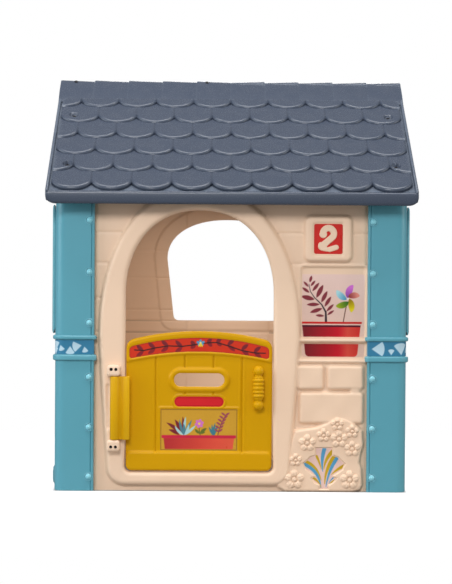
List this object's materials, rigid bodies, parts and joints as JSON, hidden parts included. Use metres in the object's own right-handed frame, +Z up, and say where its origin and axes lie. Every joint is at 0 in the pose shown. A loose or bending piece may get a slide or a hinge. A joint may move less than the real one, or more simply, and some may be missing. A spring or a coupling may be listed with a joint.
{
  "type": "plastic playhouse",
  "caption": "Moulded children's playhouse with corner posts, arched doorway with a swinging half door, shuttered side windows and a two-panel shingled gable roof.",
  "frame": {"origin": "on the ground at the middle of the house's footprint", "axes": "+Z up; the door side faces -Y; +X to the right when looking at the door side"},
  "size_m": [0.95, 0.9, 1.1001],
  "materials": {
    "wall_plastic": "satin moulded",
    "post_plastic": "satin moulded",
    "roof_plastic": "satin gloss moulded",
    "door_plastic": "satin moulded",
    "pin_plastic": "gloss moulded",
    "shutter_plastic": "satin moulded",
    "screw_steel": "black zinc",
    "hinge_steel": "zinc plated",
    "door_label_print": "printed film",
    "plate_label_print": "printed film",
    "planter_label_print": "printed film",
    "number_label_print": "printed film",
    "niche_label_print": "printed film",
    "fern_label_print": "printed film",
    "belt_label_print": "printed film"
  },
  "bodies": {
    "house": {"front_wall": "wall_plastic", "back_wall": "wall_plastic", "left_wall": "wall_plastic", "right_wall": "wall_plastic", "front_left_post": "post_plastic", "front_right_post": "post_plastic", "back_left_post": "post_plastic", "back_right_post": "post_plastic", "front_left_post_pins": "pin_plastic", "front_right_post_pins": "pin_plastic", "back_left_post_pins": "pin_plastic", "back_right_post_pins": "pin_plastic", "front_roof_panel": "roof_plastic", "rear_roof_panel": "roof_plastic", "roof_screws": "screw_steel", "ridge_screws": "screw_steel", "door_hinge_pin": "hinge_steel", "upper_hinge_keeper": "wall_plastic", "lower_hinge_keeper": "wall_plastic", "keeper_screws": "screw_steel", "shutter_hinge_pins": "hinge_steel", "number_label": "number_label_print", "wall_planter_label": "niche_label_print", "fern_label": "fern_label_print", "post_belt_labels": "belt_label_print"},
    "door": {"door": "door_plastic", "door_handle": "door_plastic", "door_header_label": "door_label_print", "door_plate_label": "plate_label_print", "door_planter_label": "planter_label_print"},
    "left_front_shutter": {"left_front_shutter": "shutter_plastic"},
    "left_back_shutter": {"left_back_shutter": "shutter_plastic"},
    "right_front_shutter": {"right_front_shutter": "shutter_plastic"},
    "right_back_shutter": {"right_back_shutter": "shutter_plastic"}
  },
  "joints": [
    {"name": "door_hinge", "type": "hinge", "parent": "house", "child": "door", "pos_m": [-0.2975, -0.404, 0.215], "axis": [0, 0, -1], "range_deg": [0, 150]},
    {"name": "left_front_shutter_hinge", "type": "hinge", "parent": "house", "child": "left_front_shutter", "pos_m": [-0.455, -0.1765, 0.56], "axis": [0, 0, -1], "range_deg": [0, 178]},
    {"name": "left_back_shutter_hinge", "type": "hinge", "parent": "house", "child": "left_back_shutter", "pos_m": [-0.455, 0.1765, 0.56], "axis": [0, 0, 1], "range_deg": [0, 178]},
    {"name": "right_front_shutter_hinge", "type": "hinge", "parent": "house", "child": "right_front_shutter", "pos_m": [0.455, -0.1765, 0.56], "axis": [0, 0, 1], "range_deg": [0, 178]},
    {"name": "right_back_shutter_hinge", "type": "hinge", "parent": "house", "child": "right_back_shutter", "pos_m": [0.455, 0.1765, 0.56], "axis": [0, 0, -1], "range_deg": [0, 178]}
  ]
}
